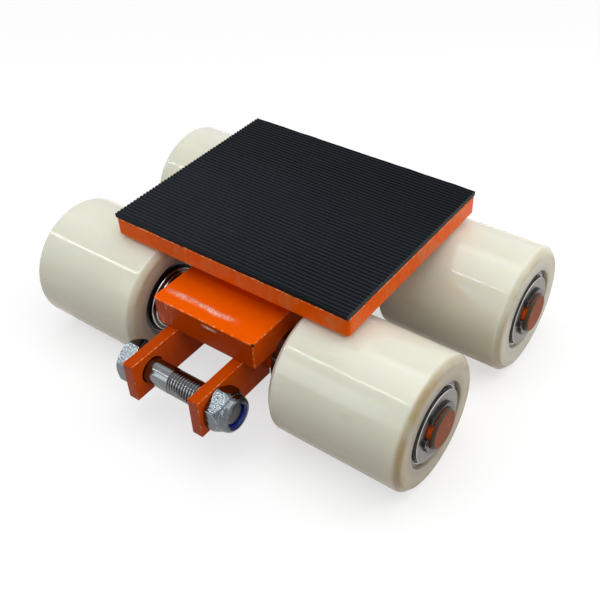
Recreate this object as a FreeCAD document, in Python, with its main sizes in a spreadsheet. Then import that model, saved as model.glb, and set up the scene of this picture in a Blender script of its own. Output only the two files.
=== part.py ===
import FreeCAD, Part
import math
import os
import re
import types

import Sketcher

# Machine skate: a steerable load skate on four nylon rollers.
# X runs along the axles, Y along the direction of travel with the tow clevis at -Y, and Z is up.
# The origin is on the floor, at the middle of the outline.

SIZES = dict(
    # Rollers and wheelbase
    roller_diameter=82.0,
    roller_length=86.0,
    roller_chamfer=3.5,
    wall_surplus=1.5,
    roller_gap=104.0,
    wheelbase=113.3,
    # Axles and what sits on their ends
    axle_diameter=25.0,
    axle_flat=1.0,
    axle_stub=2.4,
    axle_chamfer=1.3,
    washer_wall=9.5,
    washer_thickness=2.5,
    collar_wall=5.5,
    collar_flange=2.5,
    collar_flange_wall=9.0,
    circlip_thickness=2.0,
    circlip_depth=0.6,
    circlip_wall=3.4,
    circlip_gap=8.0,
    circlip_ear=2.6,
    # Sealed bearings, two in each roller
    bearing_width=15.0,
    bearing_recess=2.0,
    bearing_shoulder=3.0,
    inner_ring_wall=3.3,
    # Chassis plate and the tow clevis welded beneath it
    chassis_width=76.0,
    chassis_front=87.0,
    chassis_rear=75.0,
    chassis_corner=3.0,
    lug_thickness=7.5,
    lug_gap=42.4,
    lug_height=27.0,
    lug_reach=125.5,
    lug_wrap=5.5,
    # Tow bolt and its locking nut
    bolt_diameter=16.0,
    bolt_hole_play=1.0,
    bolt_setback=15.0,
    bolt_length=70.0,
    bolt_head_flats=24.0,
    bolt_head_height=11.0,
    hexagon_bevel=0.7,
    bolt_chamfer=1.5,
    nut_flats=24.0,
    nut_hex_height=10.4,
    nut_height=15.0,
    nut_collar_diameter=22.6,
    nut_collar_round=1.8,
    nut_lip=1.0,
    nut_mouth_diameter=18.4,
    insert_diameter=20.0,
    # Swivelling deck
    deck_length=172.0,
    deck_width=140.0,
    deck_thickness=12.0,
    deck_corner=3.0,
    deck_clearance=2.0,
    deck_offset=6.0,
    mat_thickness=3.0,
    mat_inset=0.4,
    mat_border=0.3,
    groove_pitch=2.8,
    groove_width=1.0,
    groove_depth=0.6,
    # King pin and thrust bearing under the deck
    pin_diameter=40.0,
    pin_journal=30.0,
    pin_tail=3.5,
    pin_step_gap=0.5,
    bush_wall=3.0,
    pin_washer_diameter=54.0,
    pin_washer_thickness=3.0,
    thrust_height=13.0,
    thrust_diameter=60.0,
    race_thickness=3.5,
    race_bore_play=1.0,
    thrust_roller_length=6.0,
    cage_thickness=3.0,
    cage_inset=0.8,
    # Clearances
    fit_gap=0.02,
    run_gap=0.08,
    face_gap=0.3,
)
THRUST_ROLLERS = 12
CIRCLIP_GAP_ANGLE = 150.0
BEVEL_SLOPE = 0.58
CROWN_SLOPE = 1.7
ENDS = {"front": -1, "rear": 1}
SIDES = {"left": -1, "right": 1}

doc = FreeCAD.newDocument("machine_skate")
sheet = doc.addObject("Spreadsheet::Sheet", "Sizes")
for row, (alias, number) in enumerate(SIZES.items(), start=1):
    sheet.set(f"A{row}", alias)
    sheet.set(f"B{row}", str(number))
    sheet.setAlias(f"B{row}", alias)
doc.recompute()


class Size:
    """A length that knows its value and the sheet formula that it comes from."""

    def __init__(self, value, formula):
        self.value = value
        self.formula = formula

    def join(self, other, sign, value):
        return Size(value, f"({self.formula} {sign} {other.formula})")

    def __add__(self, other):
        other = as_size(other)
        return self.join(other, "+", self.value + other.value)

    def __sub__(self, other):
        other = as_size(other)
        return self.join(other, "-", self.value - other.value)

    def __mul__(self, other):
        other = as_size(other)
        return self.join(other, "*", self.value * other.value)

    def __truediv__(self, other):
        other = as_size(other)
        return self.join(other, "/", self.value / other.value)

    def __rsub__(self, other):
        return as_size(other) - self

    def __neg__(self):
        return as_size(0) - self

    __radd__ = __add__
    __rmul__ = __mul__


def as_size(number):
    return number if isinstance(number, Size) else Size(number, f"({number:.9f})")


s = types.SimpleNamespace(**{name: Size(number, f"Sizes.{name}") for name, number in SIZES.items()})

# Heights and places worked out from the driving sizes
axle_radius = s.axle_diameter / 2
axle_height = s.roller_diameter / 2
chassis_bottom = axle_height + axle_radius - s.axle_flat
deck_bottom = s.roller_diameter + s.deck_clearance
deck_top = deck_bottom + s.deck_thickness
chassis_top = deck_bottom - s.thrust_height
lug_bottom = chassis_bottom - s.lug_height
deck_middle = s.deck_offset
# The outline's middle lies between the lugs' front ends and the rear rollers' backs.
frame_shift = (s.lug_reach - (s.wheelbase / 2 + s.roller_diameter / 2)) / 2

roller_inner = s.roller_gap / 2
roller_outer = roller_inner + s.roller_length
inner_bearing = roller_inner + s.bearing_recess
outer_bearing = roller_outer - s.bearing_recess - s.bearing_width
washer_start = roller_outer - s.bearing_recess
circlip_start = washer_start + s.washer_thickness
axle_end = circlip_start + s.circlip_thickness + s.axle_stub

# Nylon and bearing halve the room between axle and tread, but for the nylon's small surplus.
bearing_radius = (s.roller_diameter / 2 + axle_radius - s.wall_surplus) / 2
washer_radius = axle_radius + s.washer_wall
collar_radius = axle_radius + s.collar_wall
flange_radius = axle_radius + s.collar_flange_wall
inner_ring_radius = axle_radius + s.inner_ring_wall
bearing_seat = bearing_radius + s.fit_gap
groove_width = s.circlip_thickness + s.run_gap
bolt_along = s.bolt_setback - s.lug_reach
bolt_up = chassis_bottom - s.lug_height / 2
lug_face = s.lug_gap / 2 + s.lug_thickness
pin_radius = s.pin_diameter / 2
journal_radius = s.pin_journal / 2
bush_radius = journal_radius + s.bush_wall
thrust_pitch = (pin_radius + s.thrust_diameter / 2) / 2
thrust_up = chassis_top + s.thrust_height / 2
thrust_roller = s.thrust_height - (s.race_thickness + s.run_gap) * 2
pin_washer_top = chassis_bottom - s.face_gap
pin_circlip_top = pin_washer_top - s.pin_washer_thickness
pin_bottom = pin_circlip_top - s.circlip_thickness - s.pin_tail

nodes = []


def bind(thing, prop, size):
    thing.setExpression(prop, as_size(size).formula)


def place(thing, x=0, y=0, z=0):
    """Ties an object's place to the sheet; y is given from the middle of the wheelbase."""
    bind(thing, "Placement.Base.x", x)
    bind(thing, "Placement.Base.y", frame_shift + y)
    bind(thing, "Placement.Base.z", z)


def keep(thing, label):
    thing.Label = label
    nodes.append(thing)
    return thing


def group(label, things):
    """Several loose solids of one kind as one node."""
    compound = doc.addObject("Part::Compound", f"{label}_group")
    compound.Links = things
    return keep(compound, label)


def new_body(name):
    return doc.addObject("PartDesign::Body", f"{name}_body")


def new_sketch(body, role):
    sketch = body.newObject("Sketcher::SketchObject", f"{body.Name}_sketch")
    plane = next(item for item in body.Origin.OriginFeatures if item.Role == role)
    sketch.AttachmentSupport = (plane, [""])
    sketch.MapMode = "FlatFace"
    return sketch


def fix_point(sketch, geometry, point, across, up):
    """Holds a sketch point at a formula's distance from the sketch origin, each way."""
    for kind, size in (("DistanceX", as_size(across)), ("DistanceY", as_size(up))):
        index = sketch.addConstraint(Sketcher.Constraint(kind, -1, 1, geometry, point, size.value))
        bind(sketch, f"Constraints[{index}]", size)


def draw_outline(sketch, corners):
    corners = [(as_size(across), as_size(up)) for across, up in corners]
    vectors = [FreeCAD.Vector(across.value, up.value, 0) for across, up in corners]
    first = sketch.GeometryCount
    for index, start in enumerate(vectors):
        sketch.addGeometry(Part.LineSegment(start, vectors[(index + 1) % len(vectors)]), False)
    for index, (across, up) in enumerate(corners):
        following = first + (index + 1) % len(corners)
        sketch.addConstraint(Sketcher.Constraint("Coincident", first + index, 2, following, 1))
        fix_point(sketch, first + index, 1, across, up)


def draw_circle(sketch, radius, across=0, up=0):
    radius = as_size(radius)
    centre = FreeCAD.Vector(as_size(across).value, as_size(up).value, 0)
    circle = sketch.addGeometry(Part.Circle(centre, FreeCAD.Vector(0, 0, 1), radius.value), False)
    index = sketch.addConstraint(Sketcher.Constraint("Radius", circle, radius.value))
    bind(sketch, f"Constraints[{index}]", radius)
    fix_point(sketch, circle, 3, across, up)


def box_corners(left, right, low, high):
    return [(left, low), (right, low), (right, high), (left, high)]


def pad(body, sketch, length, reverse=False):
    feature = body.newObject("PartDesign::Pad", f"{body.Name}_pad")
    feature.Profile = sketch
    feature.Reversed = reverse
    bind(feature, "Length", length)
    return feature


def cut_through(body, sketch, length):
    """Cuts along the sketch plane's own normal, the way the pads here grow."""
    feature = body.newObject("PartDesign::Pocket", f"{body.Name}_cut")
    feature.Profile = sketch
    feature.Reversed = True
    bind(feature, "Length", length)
    return feature


def revolve(body, kind, sketch, axis):
    feature = body.newObject(f"PartDesign::{kind}", f"{body.Name}_{kind.lower()}")
    feature.Profile = sketch
    feature.ReferenceAxis = (sketch, [axis])
    feature.Angle = 360
    return feature


def ring(name, role, inner, outer, length):
    """A plain ring; role YZ_Plane lies along X and XY_Plane stands along Z."""
    body = new_body(name)
    sketch = new_sketch(body, role)
    draw_circle(sketch, outer)
    draw_circle(sketch, inner)
    pad(body, sketch, length)
    return body


def turned_along_x(name, profile):
    """A turned piece; the profile gives places along X and radii."""
    body = new_body(name)
    sketch = new_sketch(body, "XY_Plane")
    draw_outline(sketch, profile)
    revolve(body, "Revolution", sketch, "H_Axis")
    return body


def turned_along_z(name, profile):
    """A turned piece; the profile gives radii and heights."""
    body = new_body(name)
    sketch = new_sketch(body, "XZ_Plane")
    draw_outline(sketch, profile)
    revolve(body, "Revolution", sketch, "V_Axis")
    return body


def from_side(side, start, length):
    """Where a piece that starts at a distance from the middle begins, on the left or the right."""
    return start if side > 0 else -(start + length)


def round_upright_edges(body, base, radius, wanted):
    doc.recompute()
    names = []
    for index, edge in enumerate(base.Shape.Edges, start=1):
        ends = [vertex.Point for vertex in edge.Vertexes]
        upright = len(ends) == 2 and (ends[0] - ends[1]).cross(FreeCAD.Vector(0, 0, 1)).Length < 1e-6
        if upright and wanted(ends[0]):
            names.append(f"Edge{index}")
    fillet = body.newObject("PartDesign::Fillet", f"{body.Name}_fillet")
    fillet.Base = (base, names)
    bind(fillet, "Radius", radius)


def hexagon(flats):
    corner = flats / math.sqrt(3)
    angles = [math.radians(60 * turn) for turn in range(6)]
    return [(corner * round(math.cos(a), 9), corner * round(math.sin(a), 9)) for a in angles]


def turn_corners(body, flats, end, inward, slope=BEVEL_SLOPE):
    """Turns the corners of a hexagon along X to a cone at one of its ends."""
    start = flats / 2 - s.hexagon_bevel
    reach = flats * 0.62
    cone = new_sketch(body, "XY_Plane")
    draw_outline(cone, [(end, start), (end, reach), (end + (reach - start) * slope * inward, reach)])
    revolve(body, "Groove", cone, "H_Axis")


def circlip(name, role, shaft_radius):
    """An open retaining ring in a shaft's groove, with its gap and two ears along +across."""
    bore = shaft_radius - s.circlip_depth + s.fit_gap
    outer = bore + s.circlip_wall
    opening = s.circlip_gap / 2 + s.circlip_ear
    ear_along = bore + s.circlip_wall * 0.35
    body = new_body(name)
    hoop = new_sketch(body, role)
    draw_circle(hoop, outer)
    draw_circle(hoop, bore)
    pad(body, hoop, s.circlip_thickness)
    mouth = new_sketch(body, role)
    draw_outline(mouth, box_corners(bore / 2, outer + s.circlip_wall, -opening, opening))
    cut_through(body, mouth, s.circlip_thickness)
    ears = new_sketch(body, role)
    for lean in (-1, 1):
        draw_circle(ears, s.circlip_ear, ear_along, opening * lean)
    pad(body, ears, s.circlip_thickness)
    return body


# Rollers, their bearings and the pieces that space them on the axles

def make_roller(label, x, y):
    half = s.roller_length / 2
    rim = s.roller_diameter / 2
    seat_depth = s.bearing_recess + s.bearing_width
    shoulder = bearing_seat - s.bearing_shoulder
    right_half = [
        (half - s.roller_chamfer, rim),
        (half, rim - s.roller_chamfer),
        (half, bearing_seat),
        (half - seat_depth, bearing_seat),
        (half - seat_depth, shoulder),
    ]
    left_half = [(-along, radius) for along, radius in reversed(right_half)]
    body = turned_along_x(label, right_half + left_half)
    place(body, x, y, axle_height)
    keep(body, label)


def rings_on_axle(name, inner, outer, length, starts, y):
    """One ring at each start along an axle."""
    rings = []
    for start in starts:
        body = ring(name, "YZ_Plane", inner, outer, length)
        place(body, start, y, axle_height)
        rings.append(body)
    return rings


def make_collar(side, y):
    """A spacer from the chassis plate to the inner bearing, with a flange against the bearing."""
    bore = axle_radius + s.fit_gap
    start = s.chassis_width / 2
    step = inner_bearing - s.collar_flange
    profile = [
        (start, bore),
        (inner_bearing, bore),
        (inner_bearing, flange_radius),
        (step, flange_radius),
        (step, collar_radius),
        (start, collar_radius),
    ]
    body = turned_along_x("axle_collar", [(along * side, radius) for along, radius in profile])
    place(body, 0, y, axle_height)
    return body


def make_roller_stations():
    """Each roller with its two bearings, and the stack that holds them on the axle."""
    width = s.bearing_width
    sleeve_start = inner_bearing + width
    sleeve_length = outer_bearing - sleeve_start
    washer_length = s.washer_thickness
    outer_ring_bore = inner_ring_radius + s.run_gap
    press_bore = axle_radius + s.fit_gap
    loose_bore = axle_radius + s.run_gap
    inner_rings, sleeves, collars, washers, clips = [], [], [], [], []
    for end_name, end in ENDS.items():
        y = s.wheelbase / 2 * end
        for side_name, side in SIDES.items():
            name = f"{end_name}_{side_name}"
            make_roller(f"{name}_roller", (roller_inner + s.roller_length / 2) * side, y)
            bearings = [from_side(side, start, width) for start in (inner_bearing, outer_bearing)]
            outer_rings = f"{name}_bearing_outer_rings"
            group(outer_rings, rings_on_axle(
                outer_rings, outer_ring_bore, bearing_radius, width, bearings, y))
            inner_rings += rings_on_axle(
                "inner_ring", press_bore, inner_ring_radius, width, bearings, y)
            sleeves += rings_on_axle(
                "spacer_sleeve", loose_bore, inner_ring_radius, sleeve_length,
                [from_side(side, sleeve_start, sleeve_length)], y)
            collars.append(make_collar(side, y))
            washers += rings_on_axle(
                "axle_washer", loose_bore, washer_radius, washer_length,
                [from_side(side, washer_start, washer_length)], y)
            clip = circlip("axle_circlip", "YZ_Plane", axle_radius)
            clip.Placement.Rotation = FreeCAD.Rotation(FreeCAD.Vector(1, 0, 0), CIRCLIP_GAP_ANGLE)
            place(clip, from_side(side, circlip_start, s.circlip_thickness), y, axle_height)
            clips.append(clip)
    group("bearing_inner_rings", inner_rings)
    group("spacer_sleeves", sleeves)
    group("axle_collars", collars)
    group("axle_washers", washers)
    group("axle_circlips", clips)


def make_axle(label, y):
    """A plain shaft with a circlip groove near each end and a milled flat under the chassis plate."""
    groove_radius = axle_radius - s.circlip_depth
    groove_start = circlip_start - s.run_gap / 2
    right_half = [
        (groove_start, axle_radius),
        (groove_start, groove_radius),
        (groove_start + groove_width, groove_radius),
        (groove_start + groove_width, axle_radius),
        (axle_end - s.axle_chamfer, axle_radius),
        (axle_end, axle_radius - s.axle_chamfer),
        (axle_end, 0),
    ]
    left_half = [(-along, radius) for along, radius in reversed(right_half)]
    shaft = turned_along_x(label, right_half + left_half)
    place(shaft, 0, y, axle_height)
    mill = doc.addObject("Part::Box", f"{label}_flat")
    bind(mill, "Length", s.chassis_width)
    bind(mill, "Width", s.axle_diameter)
    bind(mill, "Height", s.axle_flat * 2)
    place(mill, -s.chassis_width / 2, y - axle_radius, chassis_bottom)
    cut = doc.addObject("Part::Cut", f"{label}_cut")
    cut.Base = shaft
    cut.Tool = mill
    keep(cut, label)


# Chassis plate and tow clevis

def make_chassis_plate():
    body = new_body("chassis_plate")
    sketch = new_sketch(body, "XY_Plane")
    half = s.chassis_width / 2
    draw_outline(sketch, box_corners(-half, half, -s.chassis_front, s.chassis_rear))
    draw_circle(sketch, bush_radius + s.fit_gap, 0, deck_middle)
    plate = pad(body, sketch, chassis_top - chassis_bottom)
    round_upright_edges(body, plate, s.chassis_corner, lambda point: point.x < 0 and point.y < 0)
    place(body, 0, 0, chassis_bottom)
    keep(body, "chassis_plate")


def make_lug(label, x):
    """A flat bar whose rear end is coped to sit on the front axle."""
    axle_along = -s.wheelbase / 2
    rear = axle_along - axle_radius + s.lug_wrap
    body = new_body(label)
    sketch = new_sketch(body, "YZ_Plane")
    draw_outline(sketch, box_corners(-s.lug_reach, rear, lug_bottom, chassis_bottom))
    draw_circle(sketch, (s.bolt_diameter + s.bolt_hole_play) / 2, bolt_along, bolt_up)
    pad(body, sketch, s.lug_thickness)
    cope = new_sketch(body, "YZ_Plane")
    draw_circle(cope, axle_radius + s.fit_gap, axle_along, axle_height)
    cut_through(body, cope, s.lug_thickness)
    place(body, x)
    keep(body, label)


def make_tow_bolt():
    length = s.bolt_length
    radius = s.bolt_diameter / 2
    body = new_body("tow_bolt")
    head = new_sketch(body, "YZ_Plane")
    draw_outline(head, hexagon(s.bolt_head_flats))
    pad(body, head, s.bolt_head_height, reverse=True)
    turn_corners(body, s.bolt_head_flats, -s.bolt_head_height, 1)
    turn_corners(body, s.bolt_head_flats, 0, -1)
    shank = new_sketch(body, "XY_Plane")
    tip = [(length - s.bolt_chamfer, radius), (length, radius - s.bolt_chamfer), (length, 0)]
    draw_outline(shank, [(0, 0), (0, radius), *tip])
    revolve(body, "Revolution", shank, "H_Axis")
    place(body, -lug_face, bolt_along, bolt_up)
    keep(body, "tow_bolt")


def make_tow_nut():
    """A locking nut: a hexagon, a domed collar rolled over a plastic ring, and that ring."""
    collar = s.nut_collar_diameter / 2
    pocket = s.insert_diameter / 2
    mouth = s.nut_mouth_diameter / 2
    lip = s.nut_height - s.nut_lip
    hole = s.bolt_diameter / 2 + s.fit_gap
    body = new_body("tow_nut")
    hexagon_sketch = new_sketch(body, "YZ_Plane")
    draw_outline(hexagon_sketch, hexagon(s.nut_flats))
    draw_circle(hexagon_sketch, hole)
    pad(body, hexagon_sketch, s.nut_hex_height)
    turn_corners(body, s.nut_flats, 0, 1)
    turn_corners(body, s.nut_flats, s.nut_hex_height, -1, CROWN_SLOPE)
    dome = new_sketch(body, "XY_Plane")
    outside = [
        (s.nut_hex_height, pocket),
        (s.nut_hex_height, collar),
        (s.nut_height - s.nut_collar_round, collar),
        (s.nut_height, collar - s.nut_collar_round),
    ]
    draw_outline(dome, outside + [(s.nut_height, mouth), (lip, mouth), (lip, pocket)])
    revolve(body, "Revolution", dome, "H_Axis")
    place(body, lug_face, bolt_along, bolt_up)
    keep(body, "tow_nut")
    insert = ring("tow_nut_insert", "YZ_Plane", hole, pocket - s.fit_gap, lip - s.nut_hex_height)
    place(insert, lug_face + s.nut_hex_height, bolt_along, bolt_up)
    keep(insert, "tow_nut_insert")


# Swivelling deck, king pin and thrust bearing

def make_deck_plate():
    body = new_body("deck_plate")
    sketch = new_sketch(body, "XY_Plane")
    half_length = s.deck_length / 2
    half_width = s.deck_width / 2
    draw_outline(sketch, box_corners(-half_length, half_length, -half_width, half_width))
    draw_circle(sketch, pin_radius + s.fit_gap)
    plate = pad(body, sketch, s.deck_thickness)
    round_upright_edges(body, plate, s.deck_corner, lambda point: True)
    place(body, 0, deck_middle, deck_bottom)
    keep(body, "deck_plate")


def make_rubber_mat():
    """A mat with fine grooves along X, between a narrow border at the front and one at the back."""
    length = s.deck_length - s.mat_inset * 2
    width = s.deck_width - s.mat_inset * 2
    body = new_body("rubber_mat")
    sheet_sketch = new_sketch(body, "XY_Plane")
    draw_outline(sheet_sketch, box_corners(0, length, 0, width))
    pad(body, sheet_sketch, s.mat_thickness)
    groove = new_sketch(body, "YZ_Plane")
    floor = s.mat_thickness - s.groove_depth
    draw_outline(groove, box_corners(s.mat_border, s.mat_border + s.groove_width, floor, s.mat_thickness))
    first = cut_through(body, groove, length)
    doc.recompute()
    pattern = body.newObject("PartDesign::LinearPattern", "rubber_mat_grooves")
    pattern.Originals = [first]
    pattern.Direction = (groove, ["H_Axis"])
    steps = f"floor(({width.formula} - 2 * Sizes.mat_border - Sizes.groove_width) / Sizes.groove_pitch)"
    pattern.setExpression("Occurrences", f"{steps} + 1")
    pattern.setExpression("Length", f"{steps} * Sizes.groove_pitch")
    body.Tip = pattern
    place(body, -length / 2, deck_middle - width / 2, deck_top)
    keep(body, "rubber_mat")


def make_king_pin():
    """Welded into the deck, running in the chassis bush, held below by a washer and a circlip."""
    step = chassis_top + s.pin_step_gap
    groove_low = pin_circlip_top - s.circlip_thickness - s.run_gap / 2
    groove_high = groove_low + groove_width
    groove_radius = journal_radius - s.circlip_depth
    profile = [
        (0, pin_bottom),
        (journal_radius, pin_bottom),
        (journal_radius, groove_low),
        (groove_radius, groove_low),
        (groove_radius, groove_high),
        (journal_radius, groove_high),
        (journal_radius, step),
        (pin_radius, step),
        (pin_radius, deck_top),
        (0, deck_top),
    ]
    pin = turned_along_z("king_pin", profile)
    place(pin, 0, deck_middle)
    keep(pin, "king_pin")
    running_bore = journal_radius + s.run_gap
    bush = ring("king_pin_bush", "XY_Plane", running_bore, bush_radius, chassis_top - chassis_bottom)
    place(bush, 0, deck_middle, chassis_bottom)
    keep(bush, "king_pin_bush")
    thickness = s.pin_washer_thickness
    washer = ring("king_pin_washer", "XY_Plane", running_bore, s.pin_washer_diameter / 2, thickness)
    place(washer, 0, deck_middle, pin_circlip_top)
    keep(washer, "king_pin_washer")
    clip = circlip("king_pin_circlip", "XY_Plane", journal_radius)
    place(clip, 0, deck_middle, pin_circlip_top - s.circlip_thickness)
    keep(clip, "king_pin_circlip")


def make_thrust_bearing():
    """Two flat races with a ring of cylindrical rollers between them, spaced by a cage."""
    races = {
        "thrust_lower_race": (pin_radius + s.race_bore_play, chassis_top),
        "thrust_upper_race": (pin_radius + s.fit_gap, deck_bottom - s.race_thickness),
    }
    for label, (bore, low) in races.items():
        race = ring(label, "XY_Plane", bore, s.thrust_diameter / 2, s.race_thickness)
        place(race, 0, deck_middle, low)
        keep(race, label)

    cage_bore = pin_radius + s.cage_inset
    cage_radius = s.thrust_diameter / 2 - s.cage_inset
    cage = ring("thrust_cage", "XY_Plane", cage_bore, cage_radius, s.cage_thickness)
    half_long = s.thrust_roller_length / 2 + s.run_gap
    half_wide = thrust_roller / 2 + s.run_gap
    slot = new_sketch(cage, "XY_Plane")
    along = (thrust_pitch - half_long, thrust_pitch + half_long)
    draw_outline(slot, box_corners(*along, -half_wide, half_wide))
    first = cut_through(cage, slot, s.cage_thickness)
    doc.recompute()
    pattern = cage.newObject("PartDesign::PolarPattern", "thrust_cage_slots")
    pattern.Originals = [first]
    pattern.Axis = (slot, ["N_Axis"])
    pattern.Angle = 360
    pattern.Occurrences = THRUST_ROLLERS
    cage.Tip = pattern
    place(cage, 0, deck_middle, thrust_up - s.cage_thickness / 2)
    keep(cage, "thrust_cage")

    rollers = []
    roller_start = thrust_pitch - s.thrust_roller_length / 2
    lay_along_x = FreeCAD.Rotation(FreeCAD.Vector(0, 1, 0), 90)
    for index in range(THRUST_ROLLERS):
        turn = 360 / THRUST_ROLLERS * index
        across = round(math.cos(math.radians(turn)), 9)
        forth = round(math.sin(math.radians(turn)), 9)
        roller = doc.addObject("Part::Cylinder", "thrust_roller")
        bind(roller, "Radius", thrust_roller / 2)
        bind(roller, "Height", s.thrust_roller_length)
        roller.Placement.Rotation = FreeCAD.Rotation(FreeCAD.Vector(0, 0, 1), turn) * lay_along_x
        place(roller, roller_start * across, deck_middle + roller_start * forth, thrust_up)
        rollers.append(roller)
    group("thrust_rollers", rollers)


make_chassis_plate()
make_lug("left_tow_lug", -lug_face)
make_lug("right_tow_lug", s.lug_gap / 2)
make_axle("front_axle", -s.wheelbase / 2)
make_axle("rear_axle", s.wheelbase / 2)
make_roller_stations()
make_tow_bolt()
make_tow_nut()
make_deck_plate()
make_rubber_mat()
make_king_pin()
make_thrust_bearing()
doc.recompute()

# Every object is sound before anything is written
for thing in doc.Objects:
    faults = [state for state in thing.State if re.search("Invalid|Error", state)]
    if faults:
        raise RuntimeError(f"{thing.Label} failed: {faults}")
for node in nodes:
    shape = node.Shape
    if shape.isNull() or not shape.isValid() or not shape.Solids:
        raise RuntimeError(f"{node.Label} has no sound shape")

os.makedirs("parts", exist_ok=True)
for node in nodes:
    node.Shape.exportStep(os.path.join("parts", f"{node.Label}.step"))
    box = node.Shape.BoundBox
    print(f"{node.Label}: {len(node.Shape.Solids)} solids, {node.Shape.Volume:.0f} mm3,",
          f"x {box.XMin:.2f} {box.XMax:.2f}, y {box.YMin:.2f} {box.YMax:.2f},",
          f"z {box.ZMin:.2f} {box.ZMax:.2f}")
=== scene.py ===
import math

import bmesh
import bpy
from mathutils import Matrix, Vector, noise


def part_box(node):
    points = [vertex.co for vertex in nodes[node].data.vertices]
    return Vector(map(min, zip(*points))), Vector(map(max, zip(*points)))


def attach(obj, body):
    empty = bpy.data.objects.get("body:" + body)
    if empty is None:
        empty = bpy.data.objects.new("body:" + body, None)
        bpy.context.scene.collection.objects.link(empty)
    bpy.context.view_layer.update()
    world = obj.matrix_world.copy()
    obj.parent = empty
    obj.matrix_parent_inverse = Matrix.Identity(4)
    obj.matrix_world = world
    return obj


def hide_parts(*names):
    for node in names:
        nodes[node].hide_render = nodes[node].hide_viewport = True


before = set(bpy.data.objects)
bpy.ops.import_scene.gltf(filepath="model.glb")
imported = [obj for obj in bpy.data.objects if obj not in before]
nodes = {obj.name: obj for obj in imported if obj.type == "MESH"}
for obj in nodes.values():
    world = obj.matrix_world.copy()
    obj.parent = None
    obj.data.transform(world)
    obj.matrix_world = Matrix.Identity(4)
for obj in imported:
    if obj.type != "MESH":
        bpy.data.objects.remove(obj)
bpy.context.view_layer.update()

# Machine skate in metres: X along the axles, the tow clevis at -Y, Z up, floor at 0.
MM = 0.001
X_AXIS = Vector((1, 0, 0))
Y_AXIS = Vector((0, 1, 0))
Z_AXIS = Vector((0, 0, 1))
ENDS = ("front", "rear")
SIDES = {"left": -1, "right": 1}
WAYS = (-1, 1)
ROUND_STEPS = 128
SMALL_ROUND_STEPS = 96
ROUNDED_ABOVE = math.radians(28)
SHADED_SHARP_ABOVE = math.radians(40)
MERGE = 1e-6

# Sizes read from the frame
axle_low, axle_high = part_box("front_axle")
roller_low, roller_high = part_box("front_right_roller")
rear_roller_low, rear_roller_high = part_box("rear_right_roller")
bearing_low, bearing_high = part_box("front_right_bearing_outer_rings")
washer_low, washer_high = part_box("axle_washers")
collar_low, collar_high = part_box("axle_collars")
_, clip_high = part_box("axle_circlips")
chassis_low, chassis_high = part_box("chassis_plate")
lug_low, lug_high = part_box("right_tow_lug")
bolt_low, bolt_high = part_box("tow_bolt")
nut_low, nut_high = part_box("tow_nut")
insert_low, insert_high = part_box("tow_nut_insert")
deck_low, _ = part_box("deck_plate")
mat_low, mat_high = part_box("rubber_mat")
pin_low, pin_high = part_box("king_pin")

axle_radius = (axle_high.z - axle_low.z) / 2
axle_end = axle_high.x
axle_height = (roller_low.z + roller_high.z) / 2
axle_y = {
    "front": (roller_low.y + roller_high.y) / 2,
    "rear": (rear_roller_low.y + rear_roller_high.y) / 2,
}
between_axles = (axle_y["front"] + axle_y["rear"]) / 2
half_wheelbase = (axle_y["rear"] - axle_y["front"]) / 2
roller_radius = (roller_high.z - roller_low.z) / 2
roller_middle = (roller_low.x + roller_high.x) / 2
roller_half = (roller_high.x - roller_low.x) / 2
bearing_radius = (bearing_high.z - bearing_low.z) / 2
bearing_recess = roller_high.x - bearing_high.x
lug_middle = (lug_low.x + lug_high.x) / 2
lug_half = (lug_high.x - lug_low.x) / 2
bolt_line = Vector((0, (bolt_low.y + bolt_high.y) / 2, (bolt_low.z + bolt_high.z) / 2))
pivot = Vector((0, (pin_low.y + pin_high.y) / 2, 0))


# Finishes

class Value:
    """A socket of a graph; arithmetic on it adds Math nodes."""

    def __init__(self, graph, socket):
        self.graph = graph
        self.socket = socket

    def math(self, operation, *terms):
        return self.graph.node("ShaderNodeMath", {"operation": operation}, dict(enumerate(terms)))

    def __add__(self, other):
        return self.math("ADD", self, other)

    def __sub__(self, other):
        return self.math("SUBTRACT", self, other)

    def __rsub__(self, other):
        return self.math("SUBTRACT", other, self)

    def __mul__(self, other):
        return self.math("MULTIPLY", self, other)

    def __abs__(self):
        return self.math("ABSOLUTE", self)

    def sine(self):
        return self.math("SINE", self)

    def root(self):
        return self.math("SQRT", self)

    def up_to_one(self):
        return self.math("MINIMUM", self, 1)

    __radd__ = __add__
    __rmul__ = __mul__


class Graph:
    """A tree of shader nodes, written as expressions."""

    def __init__(self, tree):
        self.tree = tree

    def node(self, kind, settings=None, inputs=None, output=0):
        """Any node, from its type, its settings and the values or links of its sockets."""
        made = self.tree.nodes.new(kind)
        for name, setting in (settings or {}).items():
            setattr(made, name, setting)
        for name, value in (inputs or {}).items():
            self.put(made.inputs[name], value)
        return Value(self, made.outputs[output])

    def put(self, socket, value):
        if isinstance(value, Value):
            self.tree.links.new(value.socket, socket)
        elif socket.type == "RGBA":
            socket.default_value = (*value, 1)
        else:
            socket.default_value = value

    def rays(self):
        """Above 0 for a ray from the camera, and for one that was mirrored or let through."""
        camera, glossy, through = (
            self.node("ShaderNodeLightPath", output=f"Is {kind} Ray")
            for kind in ("Camera", "Glossy", "Transmission")
        )
        return camera, glossy + through


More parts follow.
